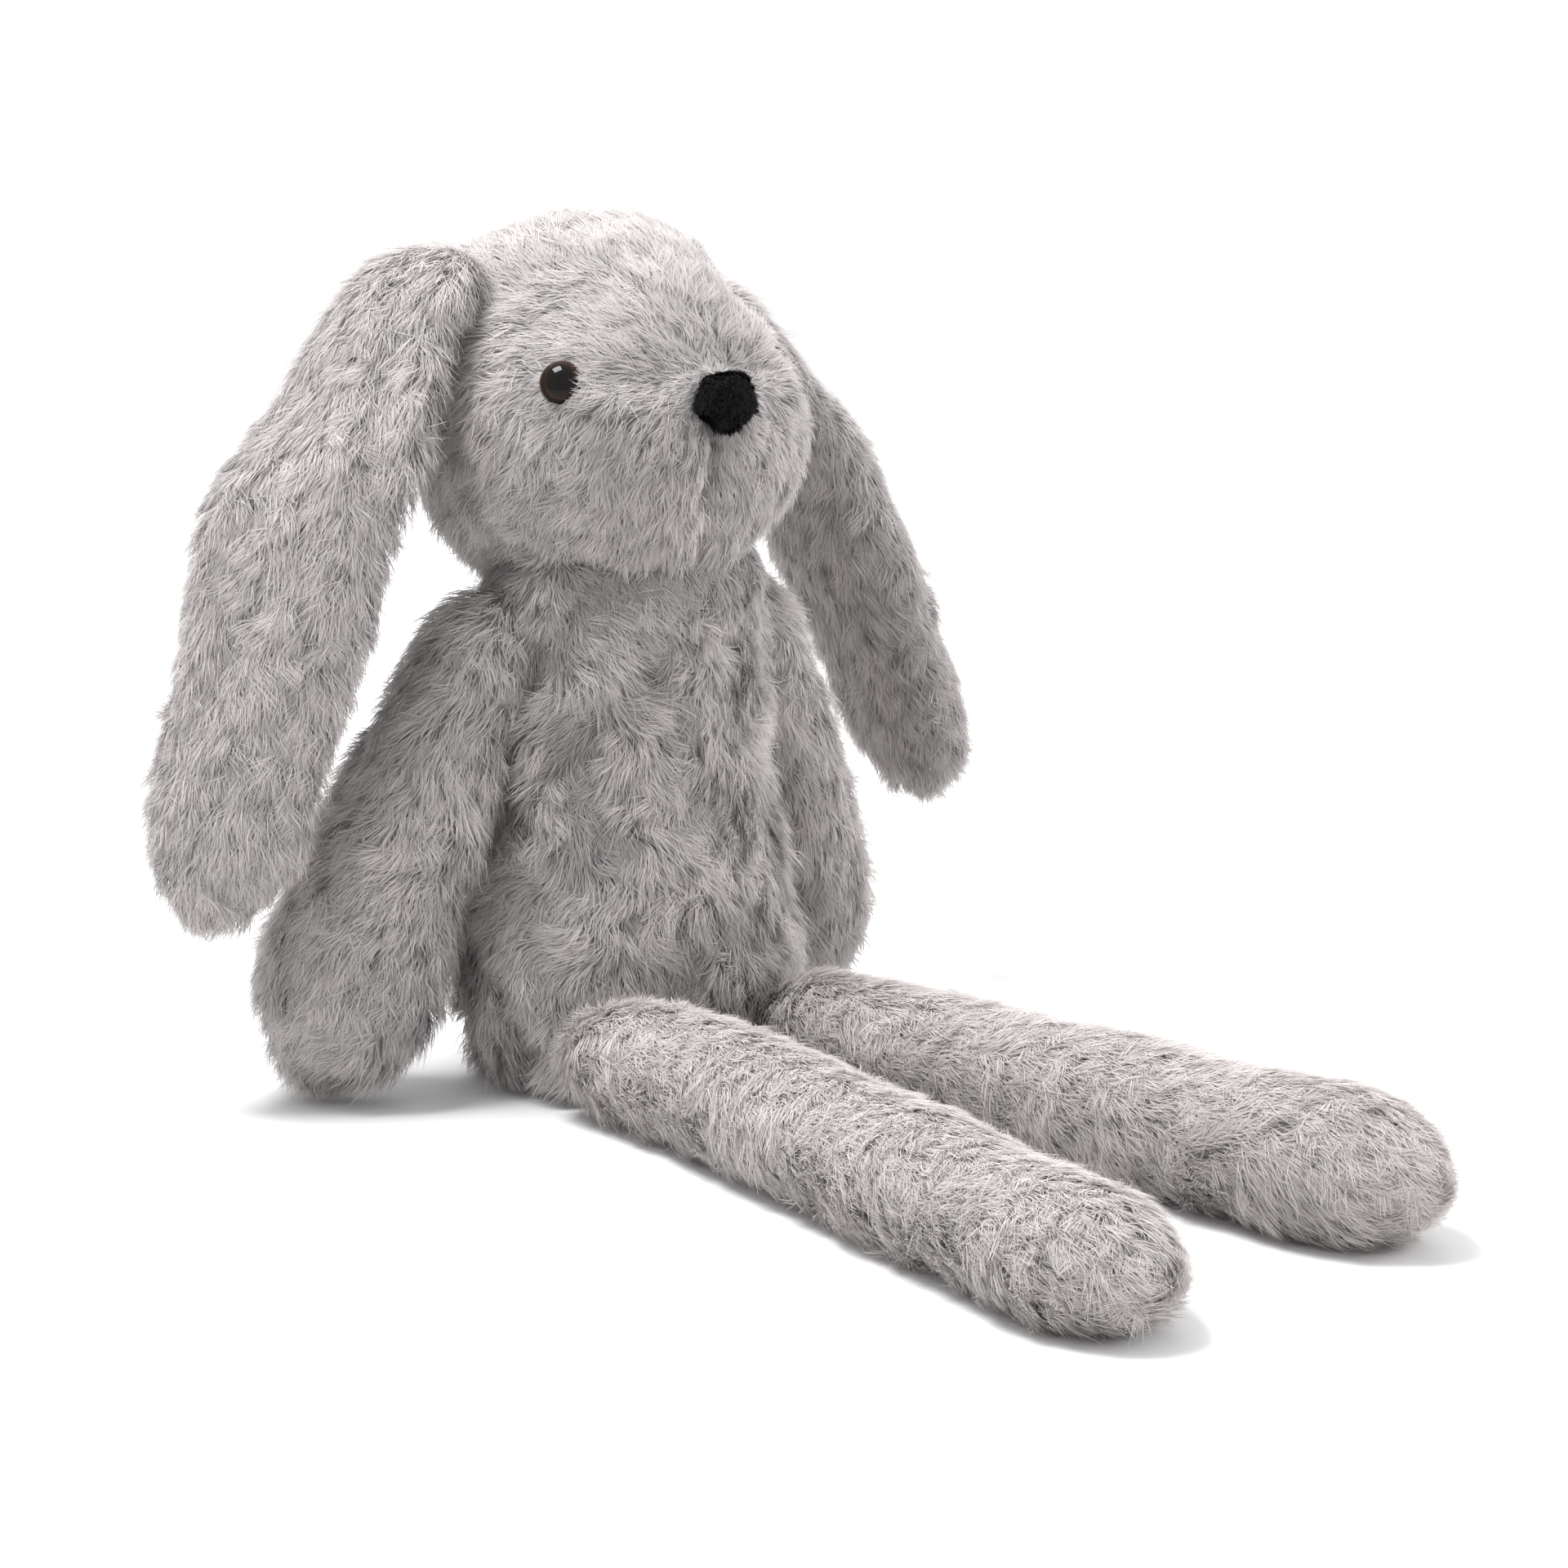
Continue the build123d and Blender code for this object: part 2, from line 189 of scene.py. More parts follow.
def nap_material():
    """Black nap, a little lighter at its tips."""
    material, shader, nodes, links = new_material("nose_nap")
    split = strand_place(nodes, links)
    along = ramp_node(nodes, [(0.0, (0.0015, 0.0015, 0.002)), (0.6, (0.004, 0.004, 0.0045)),
                              (1.0, (0.012, 0.012, 0.013))])
    links.new(split.outputs["Y"], along.inputs["Fac"])
    links.new(along.outputs["Color"], shader.inputs["Base Color"])
    shader.inputs["Roughness"].default_value = 0.8
    shader.inputs["Specular IOR Level"].default_value = 0.15
    return material


def noise_cloth(name, dark, light, scale, roughness, bump):
    """Matt cloth or fibre whose colour and relief follow a fine noise."""
    material, shader, nodes, links = new_material(name)
    where = nodes.new("ShaderNodeTexCoord")
    noise = nodes.new("ShaderNodeTexNoise")
    noise.inputs["Scale"].default_value = scale
    noise.inputs["Detail"].default_value = 5
    links.new(where.outputs["Object"], noise.inputs["Vector"])
    ramp = ramp_node(nodes, [(0.3, dark), (0.7, light)])
    links.new(noise.outputs["Fac"], ramp.inputs["Fac"])
    links.new(ramp.outputs["Color"], shader.inputs["Base Color"])
    lift = nodes.new("ShaderNodeBump")
    lift.inputs["Strength"].default_value = bump
    lift.inputs["Distance"].default_value = 0.0004
    links.new(noise.outputs["Fac"], lift.inputs["Height"])
    links.new(lift.outputs["Normal"], shader.inputs["Normal"])
    shader.inputs["Roughness"].default_value = roughness
    return material


def weave_cloth(name, dark, light, threads, roughness):
    """Plain woven cloth: two sets of fine waves crossing."""
    material, shader, nodes, links = new_material(name)
    where = nodes.new("ShaderNodeTexCoord")
    heights = []
    for way in ("X", "Z"):
        wave = nodes.new("ShaderNodeTexWave")
        wave.bands_direction = way
        wave.inputs["Scale"].default_value = threads
        wave.inputs["Distortion"].default_value = 1.5
        links.new(where.outputs["Object"], wave.inputs["Vector"])
        heights.append(wave.outputs["Fac"])
    both = nodes.new("ShaderNodeMath")
    both.operation = "MULTIPLY"
    links.new(heights[0], both.inputs[0])
    links.new(heights[1], both.inputs[1])
    ramp = ramp_node(nodes, [(0.1, dark), (0.7, light)])
    links.new(both.outputs["Value"], ramp.inputs["Fac"])
    links.new(ramp.outputs["Color"], shader.inputs["Base Color"])
    lift = nodes.new("ShaderNodeBump")
    lift.inputs["Strength"].default_value = 0.4
    lift.inputs["Distance"].default_value = 0.0003
    links.new(both.outputs["Value"], lift.inputs["Height"])
    links.new(lift.outputs["Normal"], shader.inputs["Normal"])
    shader.inputs["Roughness"].default_value = roughness
    return material


def eye_material():
    """A polished dome: black pupil in a very dark brown ring."""
    material, shader, nodes, links = new_material("eye_gloss")
    place = nodes.new("ShaderNodeUVMap")
    place.uv_map = STRAND_MAP
    from_middle = nodes.new("ShaderNodeVectorMath")
    from_middle.operation = "DISTANCE"
    from_middle.inputs[1].default_value = (0.5, 0.5, 0)
    links.new(place.outputs["UV"], from_middle.inputs[0])
    ramp = ramp_node(nodes, [(0.0, (0.004, 0.003, 0.003)), (0.27, (0.005, 0.004, 0.004)),
                             (0.33, (0.010, 0.005, 0.003)), (0.42, (0.022, 0.010, 0.006)),
                             (0.47, (0.006, 0.004, 0.004))])
    links.new(from_middle.outputs["Value"], ramp.inputs["Fac"])
    links.new(ramp.outputs["Color"], shader.inputs["Base Color"])
    shader.inputs["Roughness"].default_value = 0.07
    shader.inputs["Specular IOR Level"].default_value = 0.15
    return material


# ---------------------------------------------------------------- surfaces taken from the CAD covers
def node_mesh(*names):
    """(points, triangles) of some CAD nodes together, in metres."""
    points, faces, count = [], [], 0
    for name in names:
        mesh = frame["nodes"][name].data
        mesh.calc_loop_triangles()
        own = np.empty(len(mesh.vertices) * 3)
        mesh.vertices.foreach_get("co", own)
        tris = np.empty(len(mesh.loop_triangles) * 3, dtype=np.int32)
        mesh.loop_triangles.foreach_get("vertices", tris)
        points.append(own.reshape(-1, 3))
        faces.append(tris.reshape(-1, 3) + count)
        count += len(mesh.vertices)
    return np.vstack(points), np.vstack(faces)


def ring_faces(rings, around):
    """Quads between rings of points that lie one after the other."""
    return [(ring * around + number, ring * around + (number + 1) % around,
             (ring + 1) * around + (number + 1) % around, (ring + 1) * around + number)
            for ring in range(rings - 1) for number in range(around)]


def link_mesh(name, points, faces, material=None):
    """A new object from points and faces."""
    mesh = bpy.data.meshes.new(name)
    mesh.from_pydata(np.asarray(points).tolist(), [], [list(map(int, face)) for face in faces])
    piece = bpy.data.objects.new(name, mesh)
    bpy.context.collection.objects.link(piece)
    if material:
        mesh.materials.append(material)
    return piece


def apply_modifiers(piece):
    """Leaves the piece as its modifiers shape it, with none left on it."""
    graph = bpy.context.evaluated_depsgraph_get()
    mesh = bpy.data.meshes.new_from_object(piece.evaluated_get(graph))
    piece.modifiers.clear()
    piece.data = mesh


PILE_ROOM = 1.4 * MM                 # from the outside of a CAD cover in to the backing cloth
SAME_POINT = 0.35 * MM               # corners of neighbouring CAD faces that are one point of the skin
SKIN_VOXEL = 2.2 * MM


def outer_skin(name, covers):
    """One closed even surface over the outside of some hollow covers."""
    points, faces = node_mesh(*covers)
    tree = BVHTree.FromPolygons(points.tolist(), faces.tolist())
    corners = points[faces]
    normals = np.cross(corners[:, 1] - corners[:, 0], corners[:, 2] - corners[:, 0])
    size = np.linalg.norm(normals, axis=1)
    normals /= np.maximum(size, 1e-15)[:, None]
    middles = corners.mean(axis=1)

    def outside(number):
        """Whether nothing lies over the triangle."""
        start = Vector(middles[number] + normals[number] * 0.02 * MM)
        return size[number] > 1e-14 and tree.ray_cast(start, Vector(normals[number]))[0] is None

    piece = link_mesh(name, points, faces[[bool(outside(number)) for number in range(len(faces))]])
    work = bmesh.new()
    work.from_mesh(piece.data)
    bmesh.ops.remove_doubles(work, verts=work.verts, dist=SAME_POINT)
    bmesh.ops.delete(work, geom=[v for v in work.verts if not v.link_faces], context="VERTS")
    bmesh.ops.holes_fill(work, edges=work.edges, sides=0)
    work.to_mesh(piece.data)
    work.free()
    remesh = piece.modifiers.new("remesh", "REMESH")
    remesh.mode = "VOXEL"
    remesh.voxel_size = SKIN_VOXEL
    apply_modifiers(piece)
    soften(piece, 4)
    set_points(piece, mesh_points(piece) - point_normals(piece) * PILE_ROOM)
    return piece


def mesh_points(piece):
    """The piece's own points as an array."""
    flat = np.empty(len(piece.data.vertices) * 3)
    piece.data.vertices.foreach_get("co", flat)
    return flat.reshape(-1, 3)


def set_points(piece, points):
    """Moves the piece's own points."""
    piece.data.vertices.foreach_set("co", np.asarray(points, dtype=np.float32).ravel())
    piece.data.update()


def point_normals(piece):
    """The normals at the piece's points."""
    flat = np.empty(len(piece.data.vertices) * 3)
    piece.data.vertices.foreach_get("normal", flat)
    return flat.reshape(-1, 3)


def soften(piece, turns, share=0.5):
    """Evens out the surface, without the drawing-in of a plain smooth."""
    edges = np.empty(len(piece.data.edges) * 2, dtype=np.int32)
    piece.data.edges.foreach_get("vertices", edges)
    first, second = edges.reshape(-1, 2).T
    points = mesh_points(piece)
    count = np.bincount(np.concatenate([first, second]), minlength=len(points))[:, None]
    for factor in [share, -share * 1.04] * turns:
        total = np.zeros_like(points)
        np.add.at(total, first, points[second])
        np.add.at(total, second, points[first])
        points = points + factor * (total / np.maximum(count, 1) - points)
    set_points(piece, points)


def bell(distance, width):
    """1 in the middle of a groove or bulge and 0 far from it."""
    return np.exp(-(np.asarray(distance) / width) ** 2)


def away(points, place):
    """How far each point is from a place."""
    return np.linalg.norm(points - place, axis=1)


def swell(skin, centre, reach, amount):
    """Raises (or with a negative amount sinks) the skin round a place, along its normals."""
    points = mesh_points(skin)
    near = bell(away(points, centre), reach)
    set_points(skin, points + point_normals(skin) * (amount * near)[:, None])


def unit(vectors):
    """Vectors scaled to length 1."""
    return vectors / np.maximum(np.linalg.norm(vectors, axis=-1, keepdims=True), 1e-12)


# ---------------------------------------------------------------- fur
STEPS = np.array([0.0, 0.5, 1.0])    # along a strand, root to tip
STRAND_STRAY = 0.28                  # radians that a strand strays from the way it is combed
LOCK_STRAY = 0.32                    # and its lock
STRAND_CURL = 0.22                   # how far a tip swings aside, in lengths of the strand
HANG = 0.4                           # how much further pile stands out underneath
TUFT = 13 * MM                       # the size of the tufts that stand or lie together


def swirl(points, scale, seed):
    """A smooth value from -1 to 1 that wanders over the body, once in about each scale."""
    rng = np.random.default_rng(seed)
    total = np.zeros(len(points))
    for _ in range(6):
        way = unit(rng.normal(size=3)) * 2 * math.pi / (scale * rng.uniform(0.8, 1.7))
        total += np.sin(points @ way + rng.uniform(0, 2 * math.pi))
    return np.clip(total / 2.6, -1, 1)


def scatter(skin, count, rng, keep):
    """(roots, normals) spread evenly over the part of the skin that keep(points) allows."""
    mesh = skin.data
    mesh.calc_loop_triangles()
    tris = np.empty(len(mesh.loop_triangles) * 3, dtype=np.int32)
    mesh.loop_triangles.foreach_get("vertices", tris)
    tris = tris.reshape(-1, 3)
    points, normals = mesh_points(skin), point_normals(skin)
    tris = tris[keep(points[tris].mean(axis=1))]
    corners = points[tris]
    area = np.linalg.norm(np.cross(corners[:, 1] - corners[:, 0], corners[:, 2] - corners[:, 0]), axis=1)
    pick = rng.choice(len(tris), size=count, p=area / area.sum())
    a, b = rng.random((2, count))
    fold = a + b > 1
    a[fold], b[fold] = 1 - a[fold], 1 - b[fold]
    weights = np.stack([1 - a - b, a, b], axis=1)[:, :, None]
    return (corners[pick] * weights).sum(axis=1), unit((normals[tris[pick]] * weights).sum(axis=1))


def everywhere(points):
    """Keeps every point."""
    return np.ones(len(points), bool)


def area_of(skin, keep):
    """The area of the part of a skin that keep allows."""
    mesh = skin.data
    middles = np.empty(len(mesh.polygons) * 3)
    mesh.polygons.foreach_get("center", middles)
    areas = np.empty(len(mesh.polygons))
    mesh.polygons.foreach_get("area", areas)
    return areas[keep(middles.reshape(-1, 3))].sum()


def nearest_of(points, centres):
    """For each point, the index of the nearest centre."""
    tree = KDTree(len(centres))
    for number, centre in enumerate(centres):
        tree.insert(centre, number)
    tree.balance()
    return np.array([tree.find(point)[1] for point in points])


def turned(vectors, axes, angle):
    """Vectors turned about axes that stand square to them."""
    return vectors * np.cos(angle)[:, None] + np.cross(axes, vectors) * np.sin(angle)[:, None]


def blade_shape(path, normals, width, rng):
    """(points, shading normals) of a blade along each path: two points at a step and one at the tip."""
    ways = unit(np.diff(path, axis=1))
    ways = np.concatenate([ways, ways[:, -1:]], axis=1)
    roll = rng.uniform(-0.7, 0.7, len(path))
    across = unit(np.cross(ways, normals[:, None]))
    across = across * np.cos(roll)[:, None, None] + np.cross(ways, across) * np.sin(roll)[:, None, None]
    taper = np.array([0.9, 1.0, 0])
    half = (width * rng.uniform(0.7, 1.25, len(path))[:, None] * taper[None] / 2)[..., None]
    left, right = path - across * half, path + across * half

    # Light falls on pile much as on the surface under it, so the blades' normals lean towards the skin's.
    blade = unit(np.cross(across, ways))
    blade *= np.sign((blade * normals[:, None]).sum(axis=-1, keepdims=True) + 1e-9)
    shade = unit(normals[:, None] + blade * 0.6)
    return (np.stack([left[:, 0], right[:, 0], left[:, 1], right[:, 1], path[:, 2]], axis=1),
            np.stack([shade[:, 0], shade[:, 0], shade[:, 1], shade[:, 1], shade[:, 2]], axis=1))


def blade_mesh(name, points, shade, places):
    """A mesh of blades of five points each, with their normals and their places on the strand map."""
    count = len(points)
    first = np.arange(count, dtype=np.int32)[:, None] * 5
    corners = np.concatenate([(first + [0, 1, 3, 2]).ravel(), (first + [2, 3, 4]).ravel()])
    starts = np.concatenate([np.arange(count) * 4, count * 4 + np.arange(count) * 3])
    mesh = bpy.data.meshes.new(name)
    mesh.vertices.add(count * 5)
    mesh.vertices.foreach_set("co", points.astype(np.float32).ravel())
    mesh.loops.add(len(corners))
    mesh.loops.foreach_set("vertex_index", corners)
    mesh.polygons.add(len(starts))
    mesh.polygons.foreach_set("loop_start", starts.astype(np.int32))
    mesh.update(calc_edges=True)
    strand_map = mesh.uv_layers.new(name=STRAND_MAP).data
    strand_map.foreach_set("uv", places.reshape(-1, 2)[corners].astype(np.float32).ravel())
    mesh.polygons.foreach_set("use_smooth", np.ones(len(starts), dtype=bool))
    mesh.normals_split_custom_set_from_vertices(shade.reshape(-1, 3).tolist())
    return mesh


def grow(name, skin, body, count, groom, keep=everywhere, length=8.8 * MM, lay=0.56, wander=0.5,
         wander_scale=28 * MM, lock=2.4 * MM, pull=0.37, seed=1, floor=None, trim=None, width=0.22 * MM,
         ruffle=0.45, material=None, tone_shift=0.0, weighed=0.45):
    """Pile on part of a skin, as one mesh of fine tapered blades.

    groom(points, normals) is the way the pile lies, and lay how far it stands up. wander is how much its way
    wanders, lock the size of its locks, pull how tightly they gather and ruffle how much they rise and fall
    and how much lighter the risen tufts and darker the sunk ones are painted, as painted light and shade.
    trim(points) shortens it by place, weighed is how much flatter it lies on top. It stays above floor.
    The tone shift lightens or darkens a whole panel's pile, on some panels as painted light and on others as
    painted shade."""
    rng = np.random.default_rng(seed)
    roots, normals = scatter(skin, count, rng, keep)
    flow = groom(roots, normals)
    flow = unit(flow - normals * (flow * normals).sum(axis=1)[:, None])
    bend = swirl(roots, wander_scale, 11) + 0.7 * swirl(roots, wander_scale * 0.4, 12)
    flow = turned(flow, normals, wander * bend + rng.normal(0, STRAND_STRAY, count))

    # Locks: strands gather on the nearest of a looser set of roots, and each lock leans its own way.
    lock_count = min(count, max(8, int(area_of(skin, keep) / lock**2)))
    centres = rng.choice(count, lock_count, replace=False)
    member = nearest_of(roots, roots[centres])
    lead = centres[member]
    flow = turned(flow, normals, rng.normal(0, LOCK_STRAY, lock_count)[member])
    lock_lift = rng.uniform(0.72, 1.3, lock_count)[member]
    lock_long = rng.uniform(0.82, 1.12, lock_count)[member]
    lock_tone = rng.normal(0, 0.07, lock_count)[member]

    long = length * lock_long * rng.uniform(0.78, 1.12, count)
    if trim:
        long = long * trim(roots)
    tuft = swirl(roots, TUFT, 3)
    lift = lay * lock_lift * rng.uniform(0.8, 1.25, count) * (1 + ruffle * tuft)
    lift *= 1 - weighed * np.clip(normals[:, 2], 0, 1) + HANG * np.clip(-normals[:, 2], 0, 1)
    curl = rng.normal(0, STRAND_CURL, count)

    # A strand rises from its root and lies over towards its tip.
    rise = 1.8 * STEPS - 0.9 * STEPS**2
    run = 0.68 * STEPS + 0.26 * STEPS**2
    path = (roots[:, None] + flow[:, None] * (long[:, None] * run)[..., None]
            + normals[:, None] * (long * lift)[:, None, None] * rise[None, :, None]
            + np.cross(normals, flow)[:, None] * (long * curl)[:, None, None] * (STEPS**2)[None, :, None])
    gather = (pull * rng.choice([0.35, 0.9, 1.15], count))[:, None] * STEPS[None] ** 1.3
    path = path + (path[lead] - path) * np.clip(gather, 0, 0.92)[..., None]
    if floor is not None:
        low = floor + rng.uniform(0.05, 0.9, count)[:, None] * MM
        path[..., 2] = np.maximum(path[..., 2], low)
    points, shade = blade_shape(path, normals, width, rng)

    aside = np.linalg.norm(roots - roots[lead], axis=1) / lock       # a lock's edge is in its shade
    # The tone holds painted light and shade: a shift on some panels, risen tufts lighter, sunk tufts and lock
    # edges darker.
    tone = 0.58 + tone_shift + lock_tone + rng.normal(0, 0.15, count) + 0.08 * swirl(roots, 45 * MM, 5)
    tone += 0.38 * ruffle * tuft - 0.2 * np.clip(aside - 0.25, 0, 0.7)
    edge = np.array([-1, 1, -1, 1, 0]) * 0.01
    along = np.array([0.02, 0.02, 0.5, 0.5, 0.98])
    # Painted shade: shorter strands stop short of the pale tip colour, so short pile is as dark as shade
    # makes long pile.
    climb = along[None] * np.clip(0.45 + 0.55 * long / length, 0, 1)[:, None]
    places = np.stack([np.clip(tone, 0.15, 0.97)[:, None] + edge[None], climb], axis=-1)

    mesh = blade_mesh(name, points, shade, places)
    mesh.materials.append(material or PILE)
    piece = bpy.data.objects.new(name, mesh)
    bpy.context.collection.objects.link(piece)
    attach(piece, body)
    return piece


DENSITY = 4.3 / MM**2       # strands to the square metre
MOST_BLADES = 65500                  # to a piece


def furred(name, skin, body, groom, keep=everywhere, **how):
    """One cover panel's pile, as dense as the rest."""
    count = min(MOST_BLADES, int(area_of(skin, keep) * DENSITY))
    piece = grow(name, skin, body, count, groom, keep=keep, **how)


# ---------------------------------------------------------------- the rabbit
def middle_of(*names):
    """The middle of the box round some CAD nodes."""
    low = np.min([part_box(name)[0] for name in names], axis=0)
    high = np.max([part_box(name)[1] for name in names], axis=0)
    return (low + high) / 2


def joint_spot(name):
    """Where a joint turns, in metres."""
    joints = frame["record"]["behaviour"]["joints"]
    return np.array(next(joint["pos_m"] for joint in joints if joint["name"] == name))


def finish_skin(skin, body, covers):
    """Backing cloth under the pile, standing for its cover panels."""
    skin.data.materials.clear()
    skin.data.materials.append(BACKING)
    skin.data.polygons.foreach_set("use_smooth", np.ones(len(skin.data.polygons), dtype=bool))
    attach(skin, body)
    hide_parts(*covers)


def fill_out(name, skin, body, stands_for, gap=2.0 * MM):
    """The filling under a skin, as full as the skin lets it be."""
    filling = bpy.data.objects.new(name, skin.data.copy())
    bpy.context.collection.objects.link(filling)
    set_points(filling, mesh_points(skin) - point_normals(skin) * gap)
    filling.data.materials.clear()
    filling.data.materials.append(FIBRE)
    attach(filling, body)
    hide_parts(stands_for)


def combed(way):
    """Pile combed one way all over."""
    way = np.asarray(way, dtype=float)

    def groom(points, normals):
        return np.tile(way, (len(points), 1))
    return groom


def dress_inner():
    """Materials for the CAD pieces inside the covers, and for the covers the skins stand for."""
    by_slot = {"plush": BACKING,
               "filling": FIBRE,
               "thread": weave_cloth("sewing_thread", (0.20, 0.19, 0.19), (0.40, 0.39, 0.39), 900, 0.8),
               "bag_cloth": weave_cloth("bag_cloth", (0.60, 0.59, 0.56), (0.84, 0.83, 0.80), 700, 0.9),
               "pellets": noise_cloth("pellets", (0.72, 0.72, 0.70), (0.90, 0.90, 0.88), 260, 0.45, 0.6),
               "washer": WASHER,
               "eye_gloss": EYE, "nose_flock": NAP}
    for part in frame["record"]["subparts"]:
        piece = frame["nodes"][part["node"]]
        piece.data.materials.clear()
        piece.data.materials.append(by_slot[part["material_slot"]])


PILE = fur_material()
NAP = nap_material()
EYE = eye_material()
FIBRE = noise_cloth("polyester_filling", (0.62, 0.62, 0.60), (0.86, 0.86, 0.84), 350, 0.95, 0.8)
WASHER = noise_cloth("washer_plastic", (0.70, 0.70, 0.68), (0.80, 0.80, 0.78), 500, 0.5, 0.08)
BACKING = noise_cloth("plush_backing", (0.31, 0.298, 0.296), (0.40, 0.385, 0.383), 900, 0.9, 0.5)


DOWN = combed((0, 0, -1))
SEAM_LAP = 1 * MM                    # how far the pile of the torso's two panels reaches over their seam
SHOULDER_DEPTH = 34 * MM             # from the torso's top down to where it stops widening
SHOULDER_LIFT = 7 * MM


def make_torso():
    """The pear-shaped torso, its pile combed down and unruly on the belly."""
    covers = ["torso_front_panel", "torso_back_panel"]
    skin = outer_skin("torso_skin", covers)
    points = mesh_points(skin)
    climb = np.clip((points[:, 2] - points[:, 2].max() + SHOULDER_DEPTH) / SHOULDER_DEPTH, 0, 1)
    points *= np.stack([1 + 0.28 * climb, 1 + 0.10 * climb, 1 + 0 * climb], axis=1)
    points[:, 2] += SHOULDER_LIFT * climb
    set_points(skin, points)
    finish_skin(skin, "torso", covers)
    fill_out("torso_filling", skin, "torso", "torso_stuffing")
    # The front panel's pile is darkened: painted shade on the belly, which the lamp above lights less than
    # the top.
    furred("torso_front_pile", skin, "torso", DOWN, lambda p: p[:, 1] <= SEAM_LAP, wander=0.78,
           wander_scale=24 * MM, seed=21, floor=0.0, lock=2.2 * MM, ruffle=0.6, tone_shift=-0.1)
    furred("torso_back_pile", skin, "torso", DOWN, lambda p: p[:, 1] > -SEAM_LAP, wander=0.7,
           wander_scale=30 * MM, seed=22, floor=0.0)


def make_neck():
    """The throat between torso and head, hidden under the chin's pile."""
    low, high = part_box("neck_stuffing")
    middle = middle_of("neck_stuffing")
    rings, around = 7, 40
    base, climb = low[2] - 6 * MM, high[2] - low[2] + 15 * MM       # from inside the torso to inside the head
    points = []
    for share in np.linspace(0, 1, rings):
        radius = (25.5 + 2.5 * math.sin(math.pi * share)) * MM
        points += [(middle[0] + radius * 1.2 * math.cos(turn), middle[1] + radius * 0.92 * math.sin(turn),
                    base + share * climb) for turn in np.linspace(0, 2 * math.pi, around, endpoint=False)]
    skin = link_mesh("neck_skin", points, ring_faces(rings, around), BACKING)
    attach(skin, "neck")
    # The throat's pile is painted much darker: painted shade under the chin.
    furred("neck_pile", skin, "neck", DOWN, seed=35, lay=0.4, length=8 * MM, tone_shift=-0.3)


def make_tail():
    """A round tuft."""
    skin = outer_skin("tail_skin", ["tail_cover"])
    finish_skin(skin, "torso", ["tail_cover"])
    fill_out("tail_filling", skin, "torso", "tail_stuffing")
    centre = middle_of("tail_cover")
    furred("tail_pile", skin, "torso", lambda p, n: (p - centre) + np.array([0, 0.004, -0.006]),
           lambda p: p[:, 1] > centre[1] - 6 * MM, lay=0.6, length=9 * MM, seed=31, floor=0.0)


GUSSET_HALF = 13.5 * MM              # half the width of the strip over the head
EYE_CREASE = (4.2 * MM, 3.6 * MM)    # depth and half width of the creases
CHIN_CREASE = (4.5 * MM, 3.0 * MM)
EYE_BARE = 3.9 * MM                  # how far from the middle of the eyes and the nose the pile begins
NOSE_BARE = 5.4 * MM


